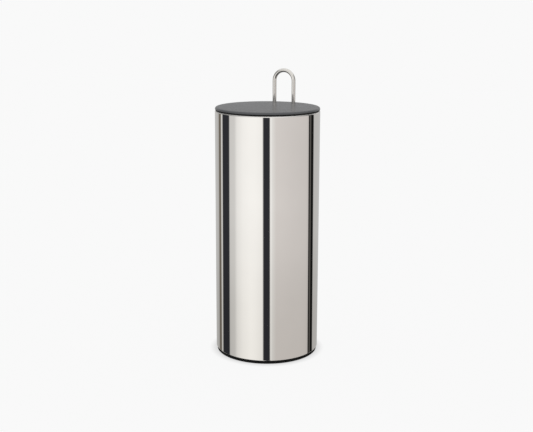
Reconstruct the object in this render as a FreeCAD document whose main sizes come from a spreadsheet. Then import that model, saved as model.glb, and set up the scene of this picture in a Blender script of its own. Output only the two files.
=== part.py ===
import FreeCAD, Part
import math
import os

import Sketcher

# A round steel canister for spare toilet rolls. A wire loop at the back of the lid runs down inside
# the canister to a platform, so one pull lifts the lid and the column of rolls together.
# The origin is on the floor under the canister's axis, the front faces -Y and the loop is at +Y.

# Driving sizes: millimetres, apart from the counts and the angles, which are in degrees
SIZES = {
    # Steel shell
    "body_diameter": 150,
    "shell_gauge": 0.8,
    "foot_height": 5,
    "shell_height": 350,
    "rim_width": 5,
    "rim_roll": 1.2,
    "rim_turn": 1,
    "rim_lip": 5,
    "hem_width": 4,
    "hem_bend": 0.9,
    # Base that snaps into the shell's hem
    "neck_clearance": 0.2,
    "base_floor_rise": 3.5,
    "base_floor_thickness": 2.5,
    "base_wall": 2.8,
    "base_rib_count": 8,
    "base_rib_thickness": 1.8,
    "base_hub_diameter": 24,
    "hook_count": 8,
    "hook_angle": 14,
    "hook_reach": 1.6,
    "hook_height": 2.4,
    "hook_gap": 0.1,
    # Rubber foot ring
    "foot_lap": 2.6,
    "foot_sole": 1.8,
    "foot_inner_wall": 1.8,
    "foot_inner_height": 3.4,
    "foot_edge": 0.8,
    "foot_fit": 0.05,
    # Lid cap
    "lid_inset": 0.2,
    "lid_gap": 0.4,
    "lid_thickness": 5.1,
    "lid_crown": 0.6,
    "lid_wall": 2.4,
    "lid_top_round": 2.5,
    "lid_edge_land": 0.3,
    "skirt_clearance": 0.8,
    "skirt_wall": 2.2,
    "skirt_depth": 9,
    "skirt_lead": 0.8,
    "lid_boss_diameter": 7.5,
    "lid_boss_inset": 22,
    "lid_rib_count": 8,
    "lid_rib_thickness": 1.6,
    "lid_rib_depth": 3.5,
    "guide_wall": 3,
    "wire_clearance": 0.15,
    # Seal under the lid
    "gasket_width": 1.2,
    "gasket_margin": 0.2,
    "gasket_thickness": 1.6,
    # Plate that closes the lid from below
    "plate_clearance": 0.3,
    "plate_thickness": 2,
    "plate_inset": 0.5,
    "plate_guide_rise": 3,
    # Lid screws
    "lid_screw_count": 4,
    "lid_screw_diameter": 3,
    "lid_screw_head": 5.8,
    "lid_screw_length": 9,
    "lid_screw_tip": 1,
    "screw_clearance": 0.05,
    # Retaining rings that hold the lid on the wire
    "clip_diameter": 10,
    "clip_thickness": 0.9,
    "clip_opening": 80,
    "clip_play": 0.1,
    "groove_depth": 0.5,
    # Bent wire
    "wire_diameter": 5.6,
    "wire_spacing": 30.4,
    "wire_inset": 9,
    "handle_rise": 49.6,
    "wire_tap_depth": 12,
    # Platform that carries the rolls
    "platform_clearance": 1.5,
    "platform_thickness": 2.5,
    "platform_rim_height": 1.5,
    "platform_rim_wall": 2,
    "platform_rim_round": 0.6,
    "platform_rib_count": 6,
    "platform_rib_thickness": 2,
    "platform_rib_depth": 4,
    "platform_hub_diameter": 20,
    "screw_boss_wall": 1.6,
    # Collars that foot the wire on the platform
    "collar_wall": 1.75,
    "collar_height": 16,
    "collar_flange": 1.4,
    "collar_flange_height": 2.5,
    "collar_bevel": 0.6,
    # Screws and washers under the platform
    "platform_screw_diameter": 3,
    "platform_screw_head": 6,
    "platform_screw_head_height": 1.6,
    "platform_screw_length": 14,
    "platform_screw_inset": 0.1,
    "washer_diameter": 9,
    "washer_thickness": 0.8,
    "washer_clearance": 0.2,
    # Bumpers under the platform
    "bumper_count": 3,
    "bumper_diameter": 10,
    "bumper_thickness": 2.5,
    "bumper_proud": 1,
    "bumper_inset": 18.5,
    "bumper_seat_wall": 1.6,
    "bumper_fit": 0.05,
    "rest_gap": 0.3,
    # Depth that a cut runs past a face
    "overrun": 2,
}

FULL_ANGLE = 360
SAME_PLACE_TOLERANCE = 1e-4

# Sketcher's own numbers for its axes and for the points of a line or an arc
HORIZONTAL_AXIS_INDEX = -1
VERTICAL_AXIS_INDEX = -2
START_INDEX = 1
END_INDEX = 2
CENTRE_INDEX = 3

doc = FreeCAD.newDocument("roll_canister")
sheet = doc.addObject("Spreadsheet::Sheet", "dims")
for row, (alias, number) in enumerate(SIZES.items(), 1):
    sheet.set(f"A{row}", alias)
    sheet.set(f"B{row}", str(number))
    sheet.setAlias(f"B{row}", alias)
doc.recompute()


class Size:
    """A number together with the sheet expression that gives it."""

    def __init__(self, number, text):
        self.number = float(number)
        self.text = text

    def __add__(self, other):
        return Size(self.number + other.number, f"({self.text} + {other.text})")

    def __sub__(self, other):
        return Size(self.number - other.number, f"({self.text} - {other.text})")

    def __neg__(self):
        return Size(-self.number, f"(-{self.text})")

    def __mul__(self, times):
        return Size(self.number * times, f"({self.text} * {times})")

    def __truediv__(self, parts):
        return Size(self.number / parts, f"({self.text} / {parts})")


def cell(alias):
    """The driving size in the sheet's cell of that name."""
    return Size(sheet.get(alias), f"dims.{alias}")


ZERO = Size(0, "0")


def new_body(name):
    body = doc.addObject("PartDesign::Body", name)
    body.Label = name
    return body


def origin_feature(body, role):
    return next(feature for feature in body.Origin.OriginFeatures if feature.Role == role)


def new_sketch(body, name, role, **offsets):
    """A sketch on one of the body's origin planes, moved by sizes along the sketch's own x, y and z."""
    sketch = body.newObject("Sketcher::SketchObject", name)
    sketch.AttachmentSupport = (origin_feature(body, role), [""])
    sketch.MapMode = "FlatFace"
    for axis, size in offsets.items():
        sketch.setExpression(f"AttachmentOffset.Base.{axis}", size.text)
    return sketch


def pin_point(sketch, geometry, point, across, up):
    """Hold a point of the sketch at sizes measured from the sketch's origin."""
    for kind, zero_axis, size in (
        ("DistanceX", VERTICAL_AXIS_INDEX, across),
        ("DistanceY", HORIZONTAL_AXIS_INDEX, up),
    ):
        if size is ZERO:
            sketch.addConstraint(Sketcher.Constraint("PointOnObject", geometry, point, zero_axis))
        else:
            origin = (HORIZONTAL_AXIS_INDEX, START_INDEX)
            distance = Sketcher.Constraint(kind, *origin, geometry, point, size.number)
            index = sketch.addConstraint(distance)
            sketch.setExpression(f"Constraints[{index}]", size.text)


def flat_vector(across, up):
    return FreeCAD.Vector(across.number, up.number, 0)


def crown_arc(start, end):
    """The arc about the sketch's vertical axis that rises from a rim point to a point on that axis."""
    reach = start[0].number
    rise = end[1].number - start[1].number
    radius = (reach ** 2 + rise ** 2) / (2 * rise)
    centre_height = end[1].number - radius
    start_angle = math.atan2(start[1].number - centre_height, reach)
    circle = Part.Circle(FreeCAD.Vector(0, centre_height, 0), FreeCAD.Vector(0, 0, 1), radius)
    return Part.ArcOfCircle(circle, start_angle, math.pi / 2)


def draw_outline(sketch, corners, crowned=None):
    """A closed outline through the corners. The edge from the corner numbered crowned is an arc."""
    count = len(corners)
    for number, (start, end) in enumerate(zip(corners, corners[1:] + corners[:1])):
        if number == crowned:
            sketch.addGeometry(crown_arc(start, end), False)
        else:
            sketch.addGeometry(Part.LineSegment(flat_vector(*start), flat_vector(*end)), False)
    for number, corner in enumerate(corners):
        following = (number + 1) % count
        sketch.addConstraint(Sketcher.Constraint("Coincident", number, END_INDEX, following, START_INDEX))
        pin_point(sketch, number, START_INDEX, *corner)
    if crowned is not None:
        sketch.addConstraint(Sketcher.Constraint("PointOnObject", crowned, CENTRE_INDEX, VERTICAL_AXIS_INDEX))


def draw_circle(sketch, across, up, radius):
    circle = Part.Circle(flat_vector(across, up), FreeCAD.Vector(0, 0, 1), radius.number)
    geometry = sketch.addGeometry(circle, False)
    index = sketch.addConstraint(Sketcher.Constraint("Radius", geometry, radius.number))
    sketch.setExpression(f"Constraints[{index}]", radius.text)
    pin_point(sketch, geometry, CENTRE_INDEX, across, up)


def draw_bar(sketch, start, end, thickness):
    """A rectangle along the sketch's x axis."""
    half = thickness / 2
    draw_outline(sketch, [(start, -half), (end, -half), (end, half), (start, half)])


def pad(body, name, sketch, length):
    feature = body.newObject("PartDesign::Pad", name)
    feature.Profile = sketch
    feature.setExpression("Length", length.text)
    return feature


def pocket(body, name, sketch, length, upward=False):
    """A cut from the sketch, down or up. It stops the build if it takes nothing away."""
    doc.recompute()
    volume_before = body.Shape.Volume
    feature = body.newObject("PartDesign::Pocket", name)
    feature.Profile = sketch
    feature.Reversed = upward
    feature.setExpression("Length", length.text)
    doc.recompute()
    if feature.Shape.Volume >= volume_before:
        raise RuntimeError(f"{body.Label}: {name} cuts nothing")
    return feature


def turn(body, name, sketch, angle=None):
    """A revolution about the sketch's vertical axis: a full turn, or the angle centred on the sketch."""
    feature = body.newObject("PartDesign::Revolution", name)
    feature.Profile = sketch
    feature.ReferenceAxis = (sketch, ["V_Axis"])
    if angle is None:
        feature.Angle = FULL_ANGLE
    else:
        feature.Midplane = True
        feature.setExpression("Angle", angle.text)
    return feature


def repeat_round(body, name, features, count):
    pattern = body.newObject("PartDesign::PolarPattern", name)
    pattern.Originals = features
    pattern.Axis = (origin_feature(body, "Z_Axis"), [""])
    pattern.Angle = FULL_ANGLE
    pattern.setExpression("Occurrences", count.text)
    body.Tip = pattern
    return pattern


def mirror_across(body, name, features):
    """Repeat the features on the other side of the plane x = 0."""
    mirrored = body.newObject("PartDesign::Mirrored", name)
    mirrored.Originals = features
    mirrored.MirrorPlane = (origin_feature(body, "YZ_Plane"), [""])
    body.Tip = mirrored
    return mirrored


def ring_edges(shape, rings):
    """The names of the edges that are circles of the given radii at the given heights."""
    names = []
    for number, edge in enumerate(shape.Edges, 1):
        if edge.Degenerated or not isinstance(edge.Curve, Part.Circle):
            continue
        for radius, height in rings:
            same_radius = abs(edge.Curve.Radius - radius.number) < SAME_PLACE_TOLERANCE
            same_height = abs(edge.Curve.Center.z - height.number) < SAME_PLACE_TOLERANCE
            if same_radius and same_height:
                names.append(f"Edge{number}")
    return names


def dress_rings(body, kind, name, rings, size):
    """Round or bevel every circular edge of the body that the rings name."""
    doc.recompute()
    base = body.Tip
    edges = ring_edges(base.Shape, rings)
    if not edges:
        raise RuntimeError(f"{body.Label}: {name} finds no edge")
    feature = body.newObject(f"PartDesign::{kind}", name)
    feature.Base = (base, edges)
    feature.setExpression("Radius" if kind == "Fillet" else "Size", size.text)
    return feature


# Levels and radii that several pieces share
body_radius = cell("body_diameter") / 2
rim_top = cell("foot_height") + cell("shell_height")
rim_inner = body_radius - cell("rim_width")
hem_inner = body_radius - cell("hem_width")
hem_top = cell("foot_height") + cell("shell_gauge")

neck_radius = hem_inner - cell("neck_clearance")
base_wall_inner = neck_radius - cell("base_wall")
base_floor_top = cell("foot_height") + cell("base_floor_rise")
base_floor_under = base_floor_top - cell("base_floor_thickness")

lid_radius = body_radius - cell("lid_inset")
lid_under = rim_top + cell("lid_gap")
lid_top = lid_under + cell("lid_thickness")
lid_edge_top = lid_top - cell("lid_crown")
lid_ceiling = lid_edge_top - cell("lid_wall")
skirt_outer = rim_inner - cell("skirt_clearance")
skirt_inner = skirt_outer - cell("skirt_wall")
skirt_bottom = lid_under - cell("skirt_depth")
plate_under = skirt_bottom + cell("plate_inset")
plate_top = plate_under + cell("plate_thickness")
lid_lower_round = lid_edge_top - lid_under - cell("lid_top_round") - cell("lid_edge_land")
gasket_outer = lid_radius - lid_lower_round - cell("gasket_margin")
gasket_inner = gasket_outer - cell("gasket_width")
gasket_top = rim_top + cell("gasket_thickness")

wire_radius = cell("wire_diameter") / 2
wire_across = cell("wire_spacing") / 2
wire_setback = skirt_inner - cell("wire_inset")
wire_hole = wire_radius + cell("wire_clearance")
guide_radius = wire_hole + cell("guide_wall")
upper_clip_under = plate_top + cell("plate_guide_rise")
upper_clip_top = upper_clip_under + cell("clip_thickness")
lower_clip_under = plate_under - cell("clip_thickness")
lid_boss_reach = skirt_inner - cell("lid_boss_inset")
lid_screw_radius = cell("lid_screw_diameter") / 2
lid_screw_hole = lid_screw_radius + cell("screw_clearance")
lid_screw_head_depth = cell("lid_screw_head") / 2 - lid_screw_radius

platform_radius = rim_inner - cell("platform_clearance")
platform_bottom = base_floor_top + cell("rest_gap") + cell("bumper_proud")
platform_under = platform_bottom + cell("platform_rib_depth")
platform_top = platform_under + cell("platform_thickness")
platform_rim_top = platform_top + cell("platform_rim_height")
platform_rim_inner = platform_radius - cell("platform_rim_wall")
head_under = platform_bottom + cell("platform_screw_inset")
head_top = head_under + cell("platform_screw_head_height")
washer_top = head_top + cell("washer_thickness")
platform_screw_radius = cell("platform_screw_diameter") / 2
platform_screw_hole = platform_screw_radius + cell("screw_clearance")
bumper_radius = cell("bumper_diameter") / 2
bumper_under = platform_bottom - cell("bumper_proud")
bumper_top = bumper_under + cell("bumper_thickness")
bumper_reach = platform_radius - cell("bumper_inset")


def canister_shell():
    """The polished tube, its rim rolled in and turned down, and its lower edge hemmed in."""
    body = new_body("canister_shell")
    gauge = cell("shell_gauge")
    lip_bottom = rim_top - cell("rim_lip")
    section = new_sketch(body, "shell_section", "XZ_Plane")
    draw_outline(section, [
        (hem_inner, cell("foot_height")),
        (body_radius, cell("foot_height")),
        (body_radius, rim_top),
        (rim_inner, rim_top),
        (rim_inner, lip_bottom),
        (rim_inner + gauge, lip_bottom),
        (rim_inner + gauge, rim_top - gauge),
        (body_radius - gauge, rim_top - gauge),
        (body_radius - gauge, hem_top),
        (hem_inner, hem_top),
    ])
    turn(body, "shell_wall", section)
    for name, radius, height, bend in (
        ("rim_roll_outside", body_radius, rim_top, cell("rim_roll")),
        ("rim_roll_inside", body_radius - gauge, rim_top - gauge, cell("rim_roll") - gauge),
        ("rim_turn_outside", rim_inner, rim_top, cell("rim_turn")),
        ("rim_turn_inside", rim_inner + gauge, rim_top - gauge, cell("rim_turn") - gauge),
        ("hem_outside", body_radius, cell("foot_height"), cell("hem_bend")),
        ("hem_inside", body_radius - gauge, hem_top, cell("hem_bend") - gauge),
    ):
        dress_rings(body, "Fillet", name, [(radius, height)], bend)
    return body


def base_cup():
    """The moulded floor: a skirt below for the foot ring, ribs under it and hooks over the hem."""
    body = new_body("base_cup")
    section = new_sketch(body, "base_section", "XZ_Plane")
    draw_outline(section, [
        (ZERO, base_floor_under),
        (base_wall_inner, base_floor_under),
        (base_wall_inner, cell("foot_sole")),
        (neck_radius, cell("foot_sole")),
        (neck_radius, base_floor_top),
        (ZERO, base_floor_top),
    ])
    turn(body, "base_floor", section)

    rib_bottom = cell("foot_inner_height") + cell("foot_fit")
    rib_height = base_floor_top - cell("base_floor_thickness") / 2 - rib_bottom
    hub = new_sketch(body, "hub_circle", "XY_Plane", z=rib_bottom)
    draw_circle(hub, ZERO, ZERO, cell("base_hub_diameter") / 2)
    pad(body, "base_hub", hub, rib_height)
    bar = new_sketch(body, "rib_bar", "XY_Plane", z=rib_bottom)
    draw_bar(bar, ZERO, base_wall_inner + cell("base_wall") / 2, cell("base_rib_thickness"))
    rib = pad(body, "base_rib", bar, rib_height)
    repeat_round(body, "base_ribs", [rib], cell("base_rib_count"))

    hook_under = hem_top + cell("hook_gap")
    hook_root = neck_radius - cell("base_wall") / 2
    hook_tip = neck_radius + cell("hook_reach")
    hook_section = new_sketch(body, "hook_section", "XZ_Plane")
    draw_outline(hook_section, [
        (hook_root, hook_under),
        (hook_tip, hook_under),
        (neck_radius, hook_under + cell("hook_height")),
        (hook_root, hook_under + cell("hook_height")),
    ])
    hook = turn(body, "snap_hook", hook_section, cell("hook_angle"))
    repeat_round(body, "snap_hooks", [hook], cell("hook_count"))
    return body


def foot_ring():
    """The rubber ring that wraps the base's skirt, carries the shell's hem and meets the floor."""
    body = new_body("foot_ring")
    foot_radius = hem_inner + cell("foot_lap")
    channel_outer = neck_radius + cell("foot_fit")
    channel_inner = base_wall_inner - cell("foot_fit")
    foot_inner = channel_inner - cell("foot_inner_wall")
    section = new_sketch(body, "foot_section", "XZ_Plane")
    draw_outline(section, [
        (foot_inner, ZERO),
        (foot_radius, ZERO),
        (foot_radius, cell("foot_height")),
        (channel_outer, cell("foot_height")),
        (channel_outer, cell("foot_sole")),
        (channel_inner, cell("foot_sole")),
        (channel_inner, cell("foot_inner_height")),
        (foot_inner, cell("foot_inner_height")),
    ])
    turn(body, "foot_wall", section)
    dress_rings(body, "Fillet", "foot_rounding", [(foot_radius, ZERO), (foot_inner, ZERO)], cell("foot_edge"))
    return body


def draw_wire_circles(sketch, radius):
    """A circle round each of the wire's two legs."""
    for across in (-wire_across, wire_across):
        draw_circle(sketch, across, wire_setback, radius)


def lid_cap():
    """The moulded lid: a crowned top with a round edge, a skirt, and ribs and bosses inside."""
    body = new_body("lid_cap")
    section = new_sketch(body, "lid_section", "XZ_Plane")
    corners = [
        (ZERO, lid_ceiling),
        (skirt_inner, lid_ceiling),
        (skirt_inner, skirt_bottom),
        (skirt_outer, skirt_bottom),
        (skirt_outer, lid_under),
        (gasket_inner, lid_under),
        (gasket_inner, gasket_top),
        (gasket_outer, gasket_top),
        (gasket_outer, lid_under),
        (lid_radius, lid_under),
        (lid_radius, lid_edge_top),
        (ZERO, lid_top),
    ]
    draw_outline(section, corners, crowned=corners.index((lid_radius, lid_edge_top)))
    turn(body, "lid_shell", section)
    dress_rings(body, "Fillet", "top_edge", [(lid_radius, lid_edge_top)], cell("lid_top_round"))
    dress_rings(body, "Fillet", "lower_edge", [(lid_radius, lid_under)], lid_lower_round)
    dress_rings(body, "Chamfer", "skirt_lead_in", [(skirt_outer, skirt_bottom)], cell("skirt_lead"))

    into_wall = cell("lid_wall") / 2
    bar = new_sketch(body, "rib_bar", "XY_Plane", z=lid_ceiling - cell("lid_rib_depth"))
    draw_bar(bar, ZERO, skirt_inner + cell("skirt_wall") / 2, cell("lid_rib_thickness"))
    rib = pad(body, "lid_rib", bar, cell("lid_rib_depth") + into_wall)
    repeat_round(body, "lid_ribs", [rib], cell("lid_rib_count"))

    boss_circle = new_sketch(body, "boss_circle", "XY_Plane", z=plate_top)
    draw_circle(boss_circle, lid_boss_reach, ZERO, cell("lid_boss_diameter") / 2)
    boss = pad(body, "lid_boss", boss_circle, lid_ceiling - plate_top + into_wall)
    repeat_round(body, "lid_bosses", [boss], cell("lid_screw_count"))

    guide_bottom = upper_clip_top + cell("clip_play")
    guides = new_sketch(body, "guide_circles", "XY_Plane", z=guide_bottom)
    draw_wire_circles(guides, guide_radius)
    pad(body, "wire_guides", guides, lid_ceiling - guide_bottom + into_wall)
    wire_holes = new_sketch(body, "wire_circles", "XY_Plane", z=lid_top + cell("overrun"))
    draw_wire_circles(wire_holes, wire_hole)
    pocket(body, "wire_holes", wire_holes, lid_top - guide_bottom + cell("overrun") * 2)

    pilot_circle = new_sketch(body, "pilot_circle", "XY_Plane", z=plate_top)
    draw_circle(pilot_circle, lid_boss_reach, ZERO, lid_screw_hole)
    pilot_depth = plate_under + cell("lid_screw_length") + cell("screw_clearance") - plate_top
    pilot = pocket(body, "pilot_hole", pilot_circle, pilot_depth, upward=True)
    repeat_round(body, "pilot_holes", [pilot], cell("lid_screw_count"))
    return body


def lid_gasket():
    """The soft ring in the lid's groove that lands on the rolled rim."""
    body = new_body("lid_gasket")
    section = new_sketch(body, "gasket_section", "XZ_Plane")
    draw_outline(section, [
        (gasket_inner, rim_top),
        (gasket_outer, rim_top),
        (gasket_outer, gasket_top),
        (gasket_inner, gasket_top),
    ])
    turn(body, "gasket_ring", section)
    return body


def lid_underplate():
    """The plate that closes the lid from below and is trapped between the wire's retaining rings."""
    body = new_body("lid_underplate")
    disc = new_sketch(body, "plate_circle", "XY_Plane", z=plate_under)
    draw_circle(disc, ZERO, ZERO, skirt_inner - cell("plate_clearance"))
    pad(body, "plate_disc", disc, cell("plate_thickness"))
    guides = new_sketch(body, "guide_circles", "XY_Plane", z=plate_under)
    draw_wire_circles(guides, guide_radius)
    pad(body, "plate_guides", guides, upper_clip_under - plate_under)
    wire_holes = new_sketch(body, "wire_circles", "XY_Plane", z=upper_clip_under + cell("overrun"))
    draw_wire_circles(wire_holes, wire_hole)
    pocket(body, "wire_holes", wire_holes, upper_clip_under - plate_under + cell("overrun") * 2)

    screw_circle = new_sketch(body, "screw_circle", "XY_Plane", z=plate_top + cell("overrun"))
    draw_circle(screw_circle, lid_boss_reach, ZERO, lid_screw_hole)
    hole = pocket(body, "screw_hole", screw_circle, cell("plate_thickness") + cell("overrun") * 2)
    repeat_round(body, "screw_holes", [hole], cell("lid_screw_count"))
    dress_rings(body, "Chamfer", "countersinks", [(lid_screw_hole, plate_under)], lid_screw_head_depth)
    return body


def lid_screws():
    """The countersunk screws that hold the plate to the lid's bosses."""
    body = new_body("lid_screws")
    tip_top = plate_under + cell("lid_screw_length")
    tip_start = tip_top - cell("lid_screw_tip")
    section = new_sketch(body, "screw_section", "XZ_Plane", x=lid_boss_reach)
    draw_outline(section, [
        (ZERO, plate_under),
        (lid_screw_radius + lid_screw_head_depth, plate_under),
        (lid_screw_radius, plate_under + lid_screw_head_depth),
        (lid_screw_radius, tip_start),
        (ZERO, tip_top),
    ])
    screw = turn(body, "screw", section)
    repeat_round(body, "screws", [screw], cell("lid_screw_count"))
    return body


def lid_clips():
    """The open retaining rings in the wire's grooves, above and below the lid's plate."""
    body = new_body("lid_clips")
    clip_inner = wire_radius - cell("groove_depth")
    clip_outer = cell("clip_diameter") / 2
    opening = cell("clip_opening")
    closed = Size(FULL_ANGLE - opening.number, f"({FULL_ANGLE} - {opening.text})")
    clips = []
    for name, under in (("upper_clip", upper_clip_under), ("lower_clip", lower_clip_under)):
        section = new_sketch(body, f"{name}_section", "XZ_Plane", x=wire_across, z=-wire_setback)
        draw_outline(section, [
            (clip_inner, under),
            (clip_outer, under),
            (clip_outer, under + cell("clip_thickness")),
            (clip_inner, under + cell("clip_thickness")),
        ])
        clips.append(turn(body, name, section, closed))
    mirror_across(body, "clips", clips)
    return body


def handle_wire():
    """The bent wire: a loop above the lid and two legs down to the platform, grooved and tapped."""
    body = new_body("handle_wire")
    loop_middle = lid_top + cell("handle_rise") - wire_radius - wire_across
    path = new_sketch(body, "wire_path", "XZ_Plane", z=-wire_setback)
    bend = Part.Circle(FreeCAD.Vector(0, loop_middle.number, 0), FreeCAD.Vector(0, 0, 1), wire_across.number)
    right_leg = path.addGeometry(Part.LineSegment(
        flat_vector(wire_across, platform_top), flat_vector(wire_across, loop_middle)), False)
    loop = path.addGeometry(Part.ArcOfCircle(bend, 0, math.pi), False)
    left_leg = path.addGeometry(Part.LineSegment(
        flat_vector(-wire_across, loop_middle), flat_vector(-wire_across, platform_top)), False)
    path.addConstraint(Sketcher.Constraint("Tangent", right_leg, END_INDEX, loop, START_INDEX))
    path.addConstraint(Sketcher.Constraint("Coincident", loop, END_INDEX, left_leg, START_INDEX))
    pin_point(path, right_leg, START_INDEX, wire_across, platform_top)
    pin_point(path, right_leg, END_INDEX, wire_across, loop_middle)
    pin_point(path, left_leg, START_INDEX, -wire_across, loop_middle)
    pin_point(path, left_leg, END_INDEX, -wire_across, platform_top)

    section = new_sketch(body, "wire_section", "XY_Plane", z=platform_top)
    draw_circle(section, wire_across, wire_setback, wire_radius)
    doc.recompute()
    sweep = body.newObject("PartDesign::AdditivePipe", "bent_wire")
    sweep.Profile = section
    sweep.Spine = (path, ["Edge1", "Edge2", "Edge3"])

    for name, under in (("upper_groove", upper_clip_under), ("lower_groove", lower_clip_under)):
        rings = new_sketch(body, f"{name}_rings", "XY_Plane", z=under + cell("clip_thickness"))
        draw_wire_circles(rings, wire_radius + cell("wire_clearance"))
        draw_wire_circles(rings, wire_radius - cell("groove_depth"))
        pocket(body, name, rings, cell("clip_thickness"))
    taps = new_sketch(body, "tap_circles", "XY_Plane", z=platform_top)
    draw_wire_circles(taps, platform_screw_hole)
    pocket(body, "tapped_ends", taps, cell("wire_tap_depth"), upward=True)
    return body


def roll_platform():
    """The round tray under the rolls, with a low raised edge, and ribs and seats on its underside."""
    body = new_body("roll_platform")
    section = new_sketch(body, "platform_section", "XZ_Plane")
    draw_outline(section, [
        (ZERO, platform_under),
        (platform_radius, platform_under),
        (platform_radius, platform_rim_top),
        (platform_rim_inner, platform_rim_top),
        (platform_rim_inner, platform_top),
        (ZERO, platform_top),
    ])
    turn(body, "platform_tray", section)
    rim_edges = [(platform_radius, platform_rim_top), (platform_rim_inner, platform_rim_top)]
    dress_rings(body, "Fillet", "rim_rounding", rim_edges, cell("platform_rim_round"))
    lower_edge = [(platform_radius, platform_under)]
    dress_rings(body, "Fillet", "lower_rounding", lower_edge, cell("platform_rim_round"))

    rib_height = cell("platform_rib_depth") + cell("platform_thickness") / 2
    hub = new_sketch(body, "hub_circle", "XY_Plane", z=platform_bottom)
    draw_circle(hub, ZERO, ZERO, cell("platform_hub_diameter") / 2)
    pad(body, "platform_hub", hub, rib_height)
    bar = new_sketch(body, "rib_bar", "XY_Plane", z=platform_bottom)
    draw_bar(bar, ZERO, platform_rim_inner, cell("platform_rib_thickness"))
    rib = pad(body, "platform_rib", bar, rib_height)
    repeat_round(body, "platform_ribs", [rib], cell("platform_rib_count"))

    recess_radius = cell("washer_diameter") / 2 + cell("washer_clearance")
    bosses = new_sketch(body, "boss_circles", "XY_Plane", z=platform_bottom)
    draw_wire_circles(bosses, recess_radius + cell("screw_boss_wall"))
    pad(body, "screw_bosses", bosses, rib_height)
    screw_holes = new_sketch(body, "screw_circles", "XY_Plane", z=platform_top)
    draw_wire_circles(screw_holes, platform_screw_hole)
    pocket(body, "screw_holes", screw_holes, platform_top - platform_bottom + cell("overrun"))
    recesses = new_sketch(body, "recess_circles", "XY_Plane", z=platform_bottom)
    draw_wire_circles(recesses, recess_radius)
    pocket(body, "screw_recesses", recesses, washer_top - platform_bottom, upward=True)

    seat_radius = bumper_radius + cell("bumper_fit")
    seat_circle = new_sketch(body, "seat_circle", "XY_Plane", z=platform_bottom)
    draw_circle(seat_circle, ZERO, -bumper_reach, seat_radius + cell("bumper_seat_wall"))
    seat = pad(body, "bumper_seat", seat_circle, rib_height)
    repeat_round(body, "bumper_seats", [seat], cell("bumper_count"))
    seat_recess = new_sketch(body, "seat_recess", "XY_Plane", z=platform_bottom)
    draw_circle(seat_recess, ZERO, -bumper_reach, seat_radius)
    recess = pocket(body, "bumper_recess", seat_recess, bumper_top - platform_bottom, upward=True)
    repeat_round(body, "bumper_recesses", [recess], cell("bumper_count"))
    return body


def leg_collars():
    """The flanged collars on the ends of the wire, which stand on the platform."""
    body = new_body("leg_collars")
    sleeve_radius = wire_hole + cell("collar_wall")
    flange_radius = sleeve_radius + cell("collar_flange")
    collar_top = platform_top + cell("collar_height")
    section = new_sketch(body, "collar_section", "XZ_Plane", x=wire_across, z=-wire_setback)
    draw_outline(section, [
        (wire_hole, platform_top),
        (flange_radius, platform_top),
        (flange_radius, platform_top + cell("collar_flange_height")),
        (sleeve_radius, platform_top + cell("collar_flange_height")),
        (sleeve_radius, collar_top - cell("collar_bevel")),
        (sleeve_radius - cell("collar_bevel"), collar_top),
        (wire_hole, collar_top),
    ])
    collar = turn(body, "collar", section)
    mirror_across(body, "collars", [collar])
    return body


def platform_washers():
    """The washers between the screw heads and the platform."""
    body = new_body("platform_washers")
    rings = new_sketch(body, "washer_rings", "XY_Plane", z=head_top)
    draw_wire_circles(rings, cell("washer_diameter") / 2)
    draw_wire_circles(rings, platform_screw_hole)
    pad(body, "washers", rings, cell("washer_thickness"))
    return body


def platform_screws():
    """The screws that draw the platform onto the ends of the wire."""
    body = new_body("platform_screws")
    heads = new_sketch(body, "head_circles", "XY_Plane", z=head_under)
    draw_wire_circles(heads, cell("platform_screw_head") / 2)
    pad(body, "screw_heads", heads, cell("platform_screw_head_height"))
    shanks = new_sketch(body, "shank_circles", "XY_Plane", z=head_under)
    draw_wire_circles(shanks, platform_screw_radius)
    pad(body, "screw_shanks", shanks, cell("platform_screw_head_height") + cell("platform_screw_length"))
    return body


def platform_bumpers():
    """The soft pads that meet the canister's floor when the platform is set down."""
    body = new_body("platform_bumpers")
    circle = new_sketch(body, "bumper_circle", "XY_Plane", z=bumper_under)
    draw_circle(circle, ZERO, -bumper_reach, bumper_radius)
    bumper = pad(body, "bumper", circle, cell("bumper_thickness"))
    repeat_round(body, "bumpers", [bumper], cell("bumper_count"))
    return body


sub_parts = [
    canister_shell(),
    base_cup(),
    foot_ring(),
    lid_cap(),
    lid_gasket(),
    lid_underplate(),
    lid_screws(),
    lid_clips(),
    handle_wire(),
    roll_platform(),
    leg_collars(),
    platform_washers(),
    platform_screws(),
    platform_bumpers(),
]
doc.recompute()

for item in doc.Objects:
    if "Invalid" in item.State or "Error" in item.State:
        raise RuntimeError(f"{item.Label} failed: {item.State}")
for sub_part in sub_parts:
    if sub_part.Shape.isNull() or not sub_part.Shape.isValid():
        raise RuntimeError(f"{sub_part.Label} has no valid shape")

os.makedirs("parts", exist_ok=True)
for sub_part in sub_parts:
    sub_part.Shape.exportStep(f"parts/{sub_part.Label}.step")
    print(sub_part.Label, len(sub_part.Shape.Solids), round(sub_part.Shape.Volume, 1))
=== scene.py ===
import math

import bmesh
import bpy
from mathutils import Matrix, Vector


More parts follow.
